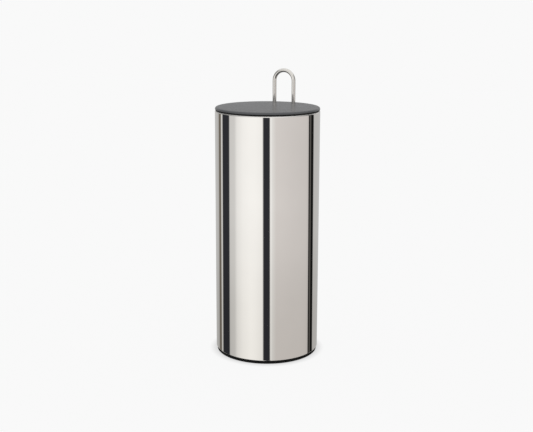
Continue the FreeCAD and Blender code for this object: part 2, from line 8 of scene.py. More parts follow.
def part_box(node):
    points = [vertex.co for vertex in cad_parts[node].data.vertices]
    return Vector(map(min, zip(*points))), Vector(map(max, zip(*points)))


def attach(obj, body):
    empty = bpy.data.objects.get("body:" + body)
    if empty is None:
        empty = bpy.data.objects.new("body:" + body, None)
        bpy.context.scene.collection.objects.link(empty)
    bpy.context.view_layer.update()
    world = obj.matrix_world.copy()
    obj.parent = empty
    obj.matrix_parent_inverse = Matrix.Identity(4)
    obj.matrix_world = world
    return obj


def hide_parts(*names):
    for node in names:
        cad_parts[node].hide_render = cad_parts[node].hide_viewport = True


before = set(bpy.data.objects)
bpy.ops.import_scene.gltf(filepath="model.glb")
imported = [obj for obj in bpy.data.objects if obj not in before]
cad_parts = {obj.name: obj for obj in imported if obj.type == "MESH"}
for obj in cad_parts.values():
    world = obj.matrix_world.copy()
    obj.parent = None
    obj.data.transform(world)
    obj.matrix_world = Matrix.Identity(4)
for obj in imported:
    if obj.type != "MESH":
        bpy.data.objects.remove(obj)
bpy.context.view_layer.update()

# The lowest and highest corners of the CAD nodes, in metres
shell_low, shell_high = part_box("canister_shell")
base_low, base_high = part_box("base_cup")
foot_low, foot_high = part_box("foot_ring")
lid_low, lid_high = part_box("lid_cap")
gasket_low, gasket_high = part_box("lid_gasket")
plate_low, plate_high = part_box("lid_underplate")
lid_screw_low, lid_screw_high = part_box("lid_screws")
clip_low, clip_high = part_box("lid_clips")
wire_low, wire_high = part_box("handle_wire")
platform_low, platform_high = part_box("roll_platform")
collar_low, collar_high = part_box("leg_collars")
washer_low, washer_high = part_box("platform_washers")
platform_screw_low, platform_screw_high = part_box("platform_screws")
bumper_low, bumper_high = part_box("platform_bumpers")

# Smaller sizes of the pieces, in metres
STEEL_GAUGE = 0.0008
RIM_WIDTH = 0.005
RIM_ROLL = 0.0018
RIM_TURN = 0.001
RIM_LIP = 0.005
HEM_WIDTH = 0.004
HEM_BEND = 0.0009
NECK_CLEARANCE = 0.0002
BASE_WALL = 0.0028
BASE_FLOOR = 0.0025
BASE_RIB = 0.0018
BASE_HUB_RADIUS = 0.012
BASE_ROUND = 0.0006
HOOK_REACH = 0.0016
HOOK_GAP = 0.0001
HOOK_HEIGHT = 0.0024
FOOT_SOLE = 0.0018
FOOT_INNER_WALL = 0.0018
FOOT_INNER_HEIGHT = 0.0034
FOOT_EDGE = 0.0008
FOOT_FIT = 0.00005
LID_GAP = 0.0004
LID_CROWN = 0.0006
LID_WALL = 0.0024
LID_TOP_ROUND = 0.0025
LID_EDGE_LAND = 0.0003
SKIRT_CLEARANCE = 0.0008
SKIRT_WALL = 0.0022
SKIRT_LEAD = 0.0008
GASKET_WIDTH = 0.0012
PLATE_THICKNESS = 0.002
WIRE_RADIUS = 0.0028
WIRE_CLEARANCE = 0.00015
GUIDE_WALL = 0.003
WIRE_GROOVE = 0.0005
WIRE_END_BEVEL = 0.0004
HOLE_LEAD = 0.0005
CLIP_RADIUS = 0.005
CLIP_THICKNESS = 0.0009
LID_SCREW_RADIUS = 0.0015
LID_SCREW_HEAD = 0.0029
LID_SCREW_TIP = 0.001
LID_CROSS_ARM = 0.0016
LID_CROSS_WIDTH = 0.0007
LID_CROSS_DEPTH = 0.001
PLATFORM_PLATE = 0.0025
PLATFORM_EDGE_WALL = 0.002
PLATFORM_RIB = 0.002
PLATFORM_HUB_RADIUS = 0.01
PLATFORM_ROUND = 0.0006
SCREW_BOSS_RADIUS = 0.0063
SCREW_RECESS_RADIUS = 0.0047
SEAT_WALL = 0.0016
SEAT_FIT = 0.00005
COLLAR_WALL = 0.00175
COLLAR_FLANGE = 0.0014
COLLAR_FLANGE_HEIGHT = 0.0025
COLLAR_ROUND = 0.0006
WASHER_RADIUS = 0.0045
PLATFORM_SCREW_RADIUS = 0.0015
PLATFORM_SCREW_HEAD = 0.003
PLATFORM_SCREW_HEAD_HEIGHT = 0.0016
PLATFORM_CROSS_ARM = 0.002
PLATFORM_CROSS_WIDTH = 0.0009
PLATFORM_CROSS_DEPTH = 0.0011
BUMPER_RADIUS = 0.005
BUMPER_ROUND = 0.001
SMALL_ROUND = 0.0003

# How far a cut runs past a face, how near to a round its guard point lies, and what counts as one point
OVERRUN = 0.0005
GUARD = 0.0003
GUARD_ROOM = GUARD * 3
WELD = 0.000002
ON_AXIS = 1e-7

# The share of its width that a cross recess keeps at its end, and the rings of the lid's crown
CROSS_END_SHARE = 0.7
CROWN_SHARES = (0.9, 0.8, 0.6, 0.4, 0.2, 0)

# Turns about an axis, in degrees
FULL_TURN = 360
HALF_TURN = 180
LID_SCREW_TURNS = (0, 90, 180, 270)
BUMPER_TURNS = (-90, 30, 150)
BASE_RIB_TURNS = (0, 45, 90, 135)
PLATFORM_RIB_TURNS = (0, 60, 120)
HOOK_TURNS = range(0, FULL_TURN, 45)
HOOK_SWEEP = 14
CLIP_OPENING = 80

# Fineness of the round forms
TURN_STEPS = 256
SMALL_TURN_STEPS = 64
HOOK_STEPS = 6
CLIP_STEPS = 40
CLIP_END_STEPS = 8
LOOP_STEPS = 48
ARC_STEP = math.radians(9)
MIN_ARC_STEPS = 3
SMOOTH_LIMIT = math.radians(32)


def turned(radius, degrees):
    """The point at that radius and angle about the origin."""
    angle = math.radians(degrees)
    return radius * math.cos(angle), radius * math.sin(angle)


# Shared places
CENTRE = (0, 0)
body_radius = shell_high.x
rim_top = shell_high.z
rim_inner = body_radius - RIM_WIDTH
hem_bottom = shell_low.z
hem_inner = body_radius - HEM_WIDTH
neck_radius = hem_inner - NECK_CLEARANCE
base_wall_inner = neck_radius - BASE_WALL
lid_under = rim_top + LID_GAP
skirt_outer = rim_inner - SKIRT_CLEARANCE
skirt_inner = skirt_outer - SKIRT_WALL
gasket_outer = gasket_high.x
gasket_inner = gasket_outer - GASKET_WIDTH
wire_across = wire_high.x - WIRE_RADIUS
wire_setback = (wire_high.y + wire_low.y) / 2
wire_hole = WIRE_RADIUS + WIRE_CLEARANCE
platform_top = collar_low.z
legs = ((-wire_across, wire_setback), (wire_across, wire_setback))
clip_unders = (clip_low.z, clip_high.z - CLIP_THICKNESS)
lid_screw_reach = lid_screw_high.x - LID_SCREW_HEAD
lid_screw_places = [turned(lid_screw_reach, degrees) for degrees in LID_SCREW_TURNS]
bumper_reach = -bumper_low.y - BUMPER_RADIUS
bumper_places = [turned(bumper_reach, degrees) for degrees in BUMPER_TURNS]


def corner_reach(before, corner, after, radius):
    """How far from a corner its rounding starts."""
    return radius / math.tan((before - corner).angle(after - corner) / 2)


def corner_arc(before, corner, after, radius):
    """The points that round one corner of an outline."""
    to_before = (before - corner).normalized()
    to_after = (after - corner).normalized()
    opening = to_before.angle(to_after)
    centre = corner + (to_before + to_after).normalized() * (radius / math.sin(opening / 2))
    start = corner + to_before * corner_reach(before, corner, after, radius) - centre
    sweep = math.pi - opening
    if to_before.cross(to_after) > 0:
        sweep = -sweep
    steps = max(MIN_ARC_STEPS, math.ceil(abs(sweep) / ARC_STEP))
    return [centre + Matrix.Rotation(sweep * step / steps, 2) @ start for step in range(steps + 1)]


def rounded_outline(corners):
    """A closed outline from corners given as (across, up, rounding radius).

    Where a straight run has room, a guard point beside each of its arcs keeps the run's shading flat.
    """
    spots = [Vector(corner[:2]) for corner in corners]
    radii = [corner[2] for corner in corners]
    count = len(spots)
    trios = [(spots[number - 1], spots[number], spots[(number + 1) % count]) for number in range(count)]
    reaches = [corner_reach(*trio, radius) for trio, radius in zip(trios, radii)]
    points = []
    for number, (trio, radius) in enumerate(zip(trios, radii)):
        points += corner_arc(*trio, radius) if radius else [trio[1]]
        following = (number + 1) % count
        run = trio[2] - trio[1]
        if run.length - reaches[number] - reaches[following] > GUARD_ROOM:
            if radius:
                points.append(trio[1] + run.normalized() * (reaches[number] + GUARD))
            if radii[following]:
                points.append(trio[2] - run.normalized() * (reaches[following] + GUARD))
    return points


def arc_points(centre, radius, start, sweep, steps):
    """Points along an arc that starts at an angle and sweeps another, in degrees, with both ends."""
    points = []
    for step in range(steps + 1):
        across, along = turned(radius, start + sweep * step / steps)
        points.append((centre[0] + across, centre[1] + along))
    return points


def shade_round(piece):
    """Smooth shading that keeps the edges sharper than SMOOTH_LIMIT."""
    piece.data.shade_smooth()
    piece.data.set_sharp_from_angle(angle=SMOOTH_LIMIT)


def mesh_piece(name, vertices, faces):
    """An object with a mesh of these vertices and faces, its normals outward."""
    mesh = bpy.data.meshes.new(name)
    mesh.from_pydata(vertices, [], faces)
    built = bmesh.new()
    built.from_mesh(mesh)
    bmesh.ops.recalc_face_normals(built, faces=built.faces)
    built.to_mesh(mesh)
    built.free()
    piece = bpy.data.objects.new(name, mesh)
    bpy.context.scene.collection.objects.link(piece)
    shade_round(piece)
    return piece


def lathe(name, outline, centre=CENTRE, steps=TURN_STEPS):
    """The solid that a closed outline of (radius, height) sweeps about a vertical axis."""
    vertices = []
    rings = []
    for radius, height in outline:
        if radius < ON_AXIS:
            rings.append([len(vertices)] * steps)
            vertices.append((*centre, height))
            continue
        rings.append(range(len(vertices), len(vertices) + steps))
        for step in range(steps):
            angle = math.tau * step / steps
            across = centre[0] + radius * math.cos(angle)
            along = centre[1] + radius * math.sin(angle)
            vertices.append((across, along, height))
    faces = []
    for ring, following in zip(rings, rings[1:] + rings[:1]):
        for step in range(steps):
            after = (step + 1) % steps
            loop = (ring[step], ring[after], following[after], following[step])
            face = tuple(dict.fromkeys(loop))
            if len(face) > 2:
                faces.append(face)
    return mesh_piece(name, vertices, faces)


def part_lathe(name, outline, start, end, steps):
    """The closed sector that an outline of (radius, height) sweeps between two angles in degrees."""
    vertices = []
    for step in range(steps + 1):
        degrees = start + (end - start) * step / steps
        for radius, height in outline:
            vertices.append((*turned(radius, degrees), height))
    size = len(outline)
    faces = [tuple(range(size)), tuple(range(steps * size, (steps + 1) * size))]
    for step in range(steps):
        for number in range(size):
            near = step * size + number
            far = step * size + (number + 1) % size
            faces.append((near, far, far + size, near + size))
    return mesh_piece(name, vertices, faces)


def prism(name, outline, bottom, top, centre=CENTRE, top_share=1):
    """An upright solid on a closed outline of (x, y); its top is top_share times the outline's size."""
    vertices = []
    for height, share in ((bottom, 1), (top, top_share)):
        for across, along in outline:
            vertices.append((centre[0] + across * share, centre[1] + along * share, height))
    size = len(outline)
    faces = [tuple(range(size)), tuple(range(size, size * 2))]
    for number in range(size):
        after = (number + 1) % size
        faces.append((number, after, after + size, number + size))
    return mesh_piece(name, vertices, faces)


def bar(name, reach, thickness, bottom, top, degrees):
    """An upright bar through the axis, from -reach to reach, turned by that many degrees."""
    turn = Matrix.Rotation(math.radians(degrees), 2)
    half = thickness / 2
    corners = ((-reach, -half), (reach, -half), (reach, half), (-reach, half))
    return prism(name, [turn @ Vector(corner) for corner in corners], bottom, top)


def rod(name, radius, bottom, top, centre=CENTRE):
    """An upright cylinder, for cuts and bosses."""
    outline = [(0, bottom), (radius, bottom), (radius, top), (0, top)]
    return lathe(name, outline, centre, SMALL_TURN_STEPS)


def clean_cuts(mesh):
    """Weld the slivers that cuts leave, close small gaps, and split faces of more than four corners."""
    built = bmesh.new()
    built.from_mesh(mesh)
    bmesh.ops.remove_doubles(built, verts=built.verts, dist=WELD)
    gap_edges = [edge for edge in built.edges if edge.is_boundary]
    bmesh.ops.holes_fill(built, edges=gap_edges, sides=0)
    bmesh.ops.triangulate(built, faces=[face for face in built.faces if len(face.verts) > 4])
    bmesh.ops.dissolve_degenerate(built, edges=built.edges, dist=WELD)
    bmesh.ops.recalc_face_normals(built, faces=built.faces)
    loose_edges = [edge for edge in built.edges if edge.is_wire]
    bmesh.ops.delete(built, geom=loose_edges, context="EDGES")
    built.to_mesh(mesh)
    built.free()


def combine(piece, others, operation):
    """Add the others to the piece (UNION) or take them out of it (DIFFERENCE)."""
    for other in others:
        step = piece.modifiers.new("combine", "BOOLEAN")
        step.operation = operation
        step.solver = "EXACT"
        step.object = other
    graph = bpy.context.evaluated_depsgraph_get()
    mesh = bpy.data.meshes.new_from_object(piece.evaluated_get(graph))
    piece.modifiers.clear()
    clean_cuts(mesh)
    piece.data = mesh
    shade_round(piece)
    for other in others:
        bpy.data.objects.remove(other)


def gather(name, pieces):
    """One piece of several that don't touch."""
    built = bmesh.new()
    for piece in pieces:
        built.from_mesh(piece.data)
        bpy.data.objects.remove(piece)
    mesh = bpy.data.meshes.new(name)
    built.to_mesh(mesh)
    built.free()
    gathered = bpy.data.objects.new(name, mesh)
    bpy.context.scene.collection.objects.link(gathered)
    shade_round(gathered)
    return gathered


def cut_cross(screw, arm, width, depth, under, centre):
    """Cut the tapered cross that a driver fits upward into a screw head's underside."""
    half = width / 2
    quarter = [(half, half), (arm, half), (arm, -half)]
    outline = []
    for number in range(4):
        turn = Matrix.Rotation(-math.pi / 2 * number, 2)
        outline += [turn @ Vector(corner) for corner in quarter]
    cutter = prism("cross", outline, under - OVERRUN, under + depth, centre, CROSS_END_SHARE)
    combine(screw, [cutter], "DIFFERENCE")


def make_shell():
    """The polished tube with its rolled rim and its hem; its inner side is a second, brushed finish."""
    inner = body_radius - STEEL_GAUGE
    lip_bottom = rim_top - RIM_LIP
    edge = STEEL_GAUGE / 3
    shell = lathe("steel_shell", rounded_outline([
        (hem_inner, hem_bottom, edge),
        (body_radius, hem_bottom, HEM_BEND),
        (body_radius, rim_top, RIM_ROLL),
        (rim_inner, rim_top, RIM_TURN),
        (rim_inner, lip_bottom, edge),
        (rim_inner + STEEL_GAUGE, lip_bottom, edge),
        (rim_inner + STEEL_GAUGE, rim_top - STEEL_GAUGE, RIM_TURN - STEEL_GAUGE),
        (inner, rim_top - STEEL_GAUGE, RIM_ROLL - STEEL_GAUGE),
        (inner, hem_bottom + STEEL_GAUGE, HEM_BEND - STEEL_GAUGE),
        (hem_inner, hem_bottom + STEEL_GAUGE, edge),
    ]))
    half_gauge = STEEL_GAUGE / 2
    for face in shell.data.polygons:
        reach = face.center.xy.length
        on_wall = reach > body_radius - half_gauge
        on_rim = face.center.z > rim_top - half_gauge
        on_lip = reach < rim_inner + half_gauge and face.center.z > lip_bottom
        face.material_index = 0 if on_wall or on_rim or on_lip else 1
    return shell


def make_base():
    """The moulded floor, with a skirt for the foot ring, ribs below and snap hooks over the hem."""
    floor_top = base_high.z
    floor_under = floor_top - BASE_FLOOR
    floor_middle = floor_top - BASE_FLOOR / 2
    skirt_bottom = base_low.z
    base = lathe("base_moulding", rounded_outline([
        (0, floor_under, 0),
        (base_wall_inner, floor_under, BASE_ROUND),
        (base_wall_inner, skirt_bottom, SMALL_ROUND),
        (neck_radius, skirt_bottom, SMALL_ROUND),
        (neck_radius, floor_top, BASE_ROUND),
        (0, floor_top, 0),
    ]))
    rib_bottom = FOOT_INNER_HEIGHT + FOOT_FIT
    rib_reach = neck_radius - BASE_WALL / 2
    added = [rod("hub", BASE_HUB_RADIUS, rib_bottom, floor_middle)]
    for degrees in BASE_RIB_TURNS:
        added.append(bar("rib", rib_reach, BASE_RIB, rib_bottom, floor_middle, degrees))
    hook_under = hem_bottom + STEEL_GAUGE + HOOK_GAP
    hook_top = hook_under + HOOK_HEIGHT
    hook_outline = [
        (rib_reach, hook_under),
        (neck_radius + HOOK_REACH, hook_under),
        (neck_radius, hook_top),
        (rib_reach, hook_top),
    ]
    for degrees in HOOK_TURNS:
        added.append(part_lathe("hook", hook_outline, degrees, degrees + HOOK_SWEEP, HOOK_STEPS))
    combine(base, added, "UNION")
    return base


def make_foot():
    """The rubber ring that wraps the base's skirt and meets the floor."""
    foot_radius = foot_high.x
    channel_outer = neck_radius + FOOT_FIT
    channel_inner = base_wall_inner - FOOT_FIT
    foot_inner = channel_inner - FOOT_INNER_WALL
    foot_top = foot_high.z
    return lathe("foot_rubber", rounded_outline([
        (foot_inner, foot_low.z, FOOT_EDGE),
        (foot_radius, foot_low.z, FOOT_EDGE),
        (foot_radius, foot_top, SMALL_ROUND),
        (channel_outer, foot_top, SMALL_ROUND),
        (channel_outer, FOOT_SOLE, 0),
        (channel_inner, FOOT_SOLE, 0),
        (channel_inner, FOOT_INNER_HEIGHT, SMALL_ROUND),
        (foot_inner, FOOT_INNER_HEIGHT, SMALL_ROUND),
    ]))


def make_lid():
    """The moulded lid: a crowned top with a round edge, a skirt, and two holes for the wire. Its faces
    below the top of the lower round (the lower round, the underside and the skirt) take a near-black
    painted shade.
    """
    lid_radius = lid_high.x
    edge_top = lid_high.z - LID_CROWN
    ceiling = edge_top - LID_WALL
    lower_round = edge_top - lid_under - LID_TOP_ROUND - LID_EDGE_LAND
    corners = [
        (0, ceiling, 0),
        (skirt_inner, ceiling, SMALL_ROUND),
        (skirt_inner, lid_low.z, SMALL_ROUND),
        (skirt_outer - SKIRT_LEAD, lid_low.z, SMALL_ROUND),
        (skirt_outer, lid_low.z + SKIRT_LEAD, SMALL_ROUND),
        (skirt_outer, lid_under, SMALL_ROUND),
        (gasket_inner, lid_under, 0),
        (gasket_inner, gasket_high.z, 0),
        (gasket_outer, gasket_high.z, 0),
        (gasket_outer, lid_under, 0),
        (lid_radius, lid_under, lower_round),
        (lid_radius, edge_top, LID_TOP_ROUND),
    ]
    for share in CROWN_SHARES:
        corners.append((lid_radius * share, edge_top + LID_CROWN * (1 - share ** 2), 0))
    lid = lathe("lid_moulding", rounded_outline(corners))
    cutters = []
    for leg in legs:
        leg_reach = math.hypot(*leg)
        surface = edge_top + LID_CROWN * (1 - (leg_reach / lid_radius) ** 2)
        cutters.append(lathe("wire_hole", [
            (0, ceiling - OVERRUN),
            (wire_hole, ceiling - OVERRUN),
            (wire_hole, surface - HOLE_LEAD),
            (wire_hole + HOLE_LEAD, surface),
            (wire_hole + HOLE_LEAD * 2, surface + HOLE_LEAD),
            (0, surface + HOLE_LEAD),
        ], leg, SMALL_TURN_STEPS))
    combine(lid, cutters, "DIFFERENCE")
    # Painted shade: every face below this height, where the lid's edge turns downward, gets the near-black
    # second material.
    painted_shade_top = lid_under + lower_round
    for face in lid.data.polygons:
        face.material_index = 0 if face.center.z > painted_shade_top else 1
    return lid


def make_gasket():
    """The soft ring in the lid's groove that lands on the rolled rim."""
    lip = GASKET_WIDTH / 3
    return lathe("lid_seal", rounded_outline([
        (gasket_inner, gasket_low.z, lip),
        (gasket_outer, gasket_low.z, lip),
        (gasket_outer, gasket_high.z, SMALL_ROUND),
        (gasket_inner, gasket_high.z, SMALL_ROUND),
    ]))


def make_plate():
    """The plate that closes the lid from below, with guides for the wire and countersunk screw holes."""
    under = plate_low.z
    top = under + PLATE_THICKNESS
    plate = lathe("lid_plate", rounded_outline([
        (0, under, 0),
        (plate_high.x, under, BASE_ROUND),
        (plate_high.x, top, SMALL_ROUND),
        (0, top, 0),
    ]))
    guide_radius = wire_hole + GUIDE_WALL
    middle = under + PLATE_THICKNESS / 2
    guides = [rod("guide", guide_radius, middle, plate_high.z, leg) for leg in legs]
    combine(plate, guides, "UNION")
    cutters = [rod("wire_hole", wire_hole, under - OVERRUN, plate_high.z + OVERRUN, leg) for leg in legs]
    sink = LID_SCREW_HEAD - LID_SCREW_RADIUS
    for place in lid_screw_places:
        cutters.append(lathe("countersink", [
            (0, under - OVERRUN),
            (LID_SCREW_HEAD + OVERRUN, under - OVERRUN),
            (LID_SCREW_RADIUS, under + sink),
            (LID_SCREW_RADIUS, top + OVERRUN),
            (0, top + OVERRUN),
        ], place, SMALL_TURN_STEPS))
    combine(plate, cutters, "DIFFERENCE")
    return plate


def make_lid_screws():
    """Four countersunk screws with cross recesses."""
    under = lid_screw_low.z
    tip = lid_screw_high.z
    screws = []
    for place in lid_screw_places:
        screw = lathe("screw", [
            (0, under),
            (LID_SCREW_HEAD, under),
            (LID_SCREW_RADIUS, under + LID_SCREW_HEAD - LID_SCREW_RADIUS),
            (LID_SCREW_RADIUS, tip - LID_SCREW_TIP),
            (0, tip),
        ], place, SMALL_TURN_STEPS)
        cut_cross(screw, LID_CROSS_ARM, LID_CROSS_WIDTH, LID_CROSS_DEPTH, under, place)
        screws.append(screw)
    return gather("lid_screw_set", screws)


def make_clips():
    """Four open retaining rings with rounded ends, in the wire's grooves above and below the plate."""
    inner = WIRE_RADIUS - WIRE_GROOVE
    middle = (inner + CLIP_RADIUS) / 2
    end_radius = (CLIP_RADIUS - inner) / 2
    sweep = FULL_TURN - CLIP_OPENING
    start = CLIP_OPENING / 2 - HALF_TURN / 2
    end = start + sweep
    first_end = arc_points(turned(middle, end), end_radius, end, HALF_TURN, CLIP_END_STEPS)
    last_end = arc_points(turned(middle, start), end_radius, start + HALF_TURN, HALF_TURN, CLIP_END_STEPS)
    outline = arc_points(CENTRE, CLIP_RADIUS, start, sweep, CLIP_STEPS)
    outline += first_end[1:-1]
    outline += arc_points(CENTRE, inner, end, -sweep, CLIP_STEPS)
    outline += last_end[1:-1]
    clips = []
    for leg in legs:
        for under in clip_unders:
            clips.append(prism("clip", outline, under, under + CLIP_THICKNESS, leg))
    return gather("lid_clip_set", clips)


def make_wire():
    """The bent wire: two legs and a half-round loop, with a groove for each retaining ring."""
    loop_radius = wire_across
    loop_height = wire_high.z - WIRE_RADIUS - loop_radius
    grooved = WIRE_RADIUS - WIRE_GROOVE
    leg_stations = [
        (wire_low.z, WIRE_RADIUS - WIRE_END_BEVEL),
        (wire_low.z + WIRE_END_BEVEL, WIRE_RADIUS),
    ]
    for under in clip_unders:
        leg_stations += [
            (under, WIRE_RADIUS),
            (under, grooved),
            (under + CLIP_THICKNESS, grooved),
            (under + CLIP_THICKNESS, WIRE_RADIUS),
        ]
    leg_stations.append((loop_height - GUARD, WIRE_RADIUS))
    outward = Vector((1, 0, 0))
    stations = []
    for height, radius in leg_stations:
        stations.append((Vector((wire_across, wire_setback, height)), outward, radius))
    for step in range(LOOP_STEPS + 1):
        angle = math.pi * step / LOOP_STEPS
        normal = Vector((math.cos(angle), 0, math.sin(angle)))
        middle = Vector((0, wire_setback, loop_height)) + normal * loop_radius
        stations.append((middle, normal, WIRE_RADIUS))
    for height, radius in reversed(leg_stations):
        stations.append((Vector((-wire_across, wire_setback, height)), -outward, radius))
    sideways = Vector((0, 1, 0))
    steps = SMALL_TURN_STEPS
    vertices = []
    for middle, normal, radius in stations:
        for step in range(steps):
            angle = math.tau * step / steps
            vertices.append(middle + (normal * math.cos(angle) + sideways * math.sin(angle)) * radius)
    last = (len(stations) - 1) * steps
    faces = [tuple(range(steps)), tuple(range(last, last + steps))]
    for ring in range(0, last, steps):
        for step in range(steps):
            after = (step + 1) % steps
            faces.append((ring + step, ring + after, ring + after + steps, ring + step + steps))
    return mesh_piece("carrier_wire", vertices, faces)


def make_platform():
    """The tray under the rolls: a raised edge above, and ribs, bosses and pad seats below."""
    radius = platform_high.x
    edge_inner = radius - PLATFORM_EDGE_WALL
    plate_under = platform_top - PLATFORM_PLATE
    plate_middle = platform_top - PLATFORM_PLATE / 2
    bottom = platform_low.z
    platform = lathe("platform_tray", rounded_outline([
        (0, plate_under, 0),
        (radius, plate_under, PLATFORM_ROUND),
        (radius, platform_high.z, PLATFORM_ROUND),
        (edge_inner, platform_high.z, PLATFORM_ROUND),
        (edge_inner, platform_top, PLATFORM_ROUND),
        (0, platform_top, 0),
    ]))
    added = [rod("hub", PLATFORM_HUB_RADIUS, bottom, plate_middle)]
    for degrees in PLATFORM_RIB_TURNS:
        added.append(bar("rib", edge_inner, PLATFORM_RIB, bottom, plate_middle, degrees))
    for leg in legs:
        added.append(rod("boss", SCREW_BOSS_RADIUS, bottom, plate_middle, leg))
    seat_radius = BUMPER_RADIUS + SEAT_FIT
    for place in bumper_places:
        added.append(rod("seat", seat_radius + SEAT_WALL, bottom, plate_middle, place))
    combine(platform, added, "UNION")
    cutters = []
    for leg in legs:
        cutters.append(rod("recess", SCREW_RECESS_RADIUS, bottom - OVERRUN, washer_high.z, leg))
    for place in bumper_places:
        cutters.append(rod("recess", seat_radius, bottom - OVERRUN, bumper_high.z, place))
    combine(platform, cutters, "DIFFERENCE")
    return platform


def turned_set(name, outline, places):
    """One piece of the same small turned form at each of the places."""
    return gather(name, [lathe("form", outline, place, SMALL_TURN_STEPS) for place in places])


def make_collars():
    """The flanged collars that foot the wire's legs on the platform."""
    sleeve = wire_hole + COLLAR_WALL
    flange = sleeve + COLLAR_FLANGE
    under = collar_low.z
    return turned_set("collar_pair", rounded_outline([
        (wire_hole, under, 0),
        (flange, under, 0),
        (flange, under + COLLAR_FLANGE_HEIGHT, COLLAR_ROUND),
        (sleeve, under + COLLAR_FLANGE_HEIGHT, COLLAR_ROUND),
        (sleeve, collar_high.z, COLLAR_ROUND),
        (wire_hole, collar_high.z, SMALL_ROUND),
    ]), legs)


def make_washers():
    """The washers between the screw heads and the platform."""
    edge = SMALL_ROUND / 2
    return turned_set("washer_pair", rounded_outline([
        (PLATFORM_SCREW_RADIUS, washer_low.z, edge),
        (WASHER_RADIUS, washer_low.z, edge),
        (WASHER_RADIUS, washer_high.z, edge),
        (PLATFORM_SCREW_RADIUS, washer_high.z, edge),
    ]), legs)


def make_platform_screws():
    """The two pan-head screws under the platform, with cross recesses."""
    under = platform_screw_low.z
    head_top = under + PLATFORM_SCREW_HEAD_HEIGHT
    tip = platform_screw_high.z
    outline = rounded_outline([
        (0, under, 0),
        (PLATFORM_SCREW_HEAD, under, PLATFORM_SCREW_HEAD_HEIGHT / 2),
        (PLATFORM_SCREW_HEAD, head_top, SMALL_ROUND),
        (PLATFORM_SCREW_RADIUS, head_top, 0),
        (PLATFORM_SCREW_RADIUS, tip, SMALL_ROUND),
        (0, tip, 0),
    ])
    screws = []
    for leg in legs:
        screw = lathe("screw", outline, leg, SMALL_TURN_STEPS)
        cut_cross(screw, PLATFORM_CROSS_ARM, PLATFORM_CROSS_WIDTH, PLATFORM_CROSS_DEPTH, under, leg)
        screws.append(screw)
    return gather("platform_screw_pair", screws)


def make_bumpers():
    """The soft pads under the platform."""
    return turned_set("bumper_set", rounded_outline([
        (0, bumper_low.z, 0),
        (BUMPER_RADIUS, bumper_low.z, BUMPER_ROUND),
        (BUMPER_RADIUS, bumper_high.z, SMALL_ROUND),
        (0, bumper_high.z, 0),
    ]), bumper_places)


class NodeTree:
    """The nodes of one material or world, which are added and joined call by call."""

    def __init__(self, owner):
        owner.use_nodes = True
        self.nodes = owner.node_tree.nodes
        self.links = owner.node_tree.links

    def feed(self, socket, value):
        """Set a socket to a plain value, or link another node's output to it."""
        if isinstance(value, bpy.types.NodeSocket):
            self.links.new(value, socket)
        else:
            socket.default_value = value

    def add(self, kind, inputs=None, **settings):
        """A new node with these settings, its inputs fed by name or number."""
        node = self.nodes.new(kind)
        for name, value in settings.items():
            setattr(node, name, value)
        for key, value in (inputs or {}).items():
            self.feed(node.inputs[key], value)
        return node


# The range that most of a noise texture lies in, and the stretch of lines along an upright piece
NOISE_LOW = 0.3
NOISE_HIGH = 0.7
EVEN = (1, 1, 1)
LENGTHWISE = (1, 1, 0.02)


class Finish(NodeTree):
    """A node material around one Principled shader."""

    def __init__(self, name, **constants):
        self.material = bpy.data.materials.new(name)
        super().__init__(self.material)
        self.shader = self.nodes["Principled BSDF"]
        for socket, value in constants.items():
            self.shader.inputs[socket.replace("_", " ")].default_value = value

    def noise(self, scale, detail, stretch=EVEN):
        """Noise over the piece's own coordinates, with that stretch along each axis."""
        place = self.add("ShaderNodeTexCoord")
        mapping = self.add("ShaderNodeMapping", {"Vector": place.outputs["Object"], "Scale": stretch})
        texture = self.add("ShaderNodeTexNoise", {
            "Vector": mapping.outputs["Vector"],
            "Scale": scale,
            "Detail": detail,
        })
        return texture.outputs["Fac"]

    def gloss(self, factor, smooth, rough):
        """Drive the roughness from smooth to rough over the noise's usual range."""
        node = self.add("ShaderNodeMapRange", {
            "Value": factor,
            "From Min": NOISE_LOW,
            "From Max": NOISE_HIGH,
            "To Min": smooth,
            "To Max": rough,
        })
        self.feed(self.shader.inputs["Roughness"], node.outputs["Result"])

    def tint(self, factor, dark, pale):
        """Drive the base colour between two close colours."""
        ramp = self.add("ShaderNodeValToRGB", {"Fac": factor})
        stops = ramp.color_ramp.elements
        for stop, position, colour in zip(stops, (NOISE_LOW, NOISE_HIGH), (dark, pale)):
            stop.position = position
            stop.color = (*colour, 1)
        self.feed(self.shader.inputs["Base Color"], ramp.outputs["Color"])

    def bump(self, height, distance):
        """Raise the surface by the height factor, up to that distance in metres."""
        node = self.add("ShaderNodeBump", {"Height": height, "Distance": distance})
        self.feed(self.shader.inputs["Normal"], node.outputs["Normal"])


def polished_steel():
    """Mirror-polished sheet with faint smudges."""
    finish = Finish("polished_steel", Metallic=1)
    finish.tint(finish.noise(scale=14, detail=3), dark=(0.84, 0.817, 0.78), pale=(0.87, 0.847, 0.808))
    finish.gloss(finish.noise(scale=60, detail=4), smooth=0.015, rough=0.03)
    return finish.material


def brushed_steel():
    """The dull mill finish on the inside of the sheet."""
    finish = Finish("brushed_steel", Metallic=0.55)
    lines = finish.noise(scale=2500, detail=2, stretch=LENGTHWISE)
    finish.tint(lines, dark=(0.55, 0.545, 0.535), pale=(0.68, 0.675, 0.66))
    finish.gloss(lines, smooth=0.48, rough=0.62)
    finish.bump(lines, distance=0.00001)
    return finish.material


def bright_wire():
    """Drawn wire with faint lines along it."""
    finish = Finish("bright_wire", Metallic=1)
    lines = finish.noise(scale=3000, detail=2, stretch=LENGTHWISE)
    finish.tint(lines, dark=(0.74, 0.715, 0.675), pale=(0.8, 0.775, 0.735))
    finish.gloss(finish.noise(scale=200, detail=3), smooth=0.07, rough=0.12)
    return finish.material


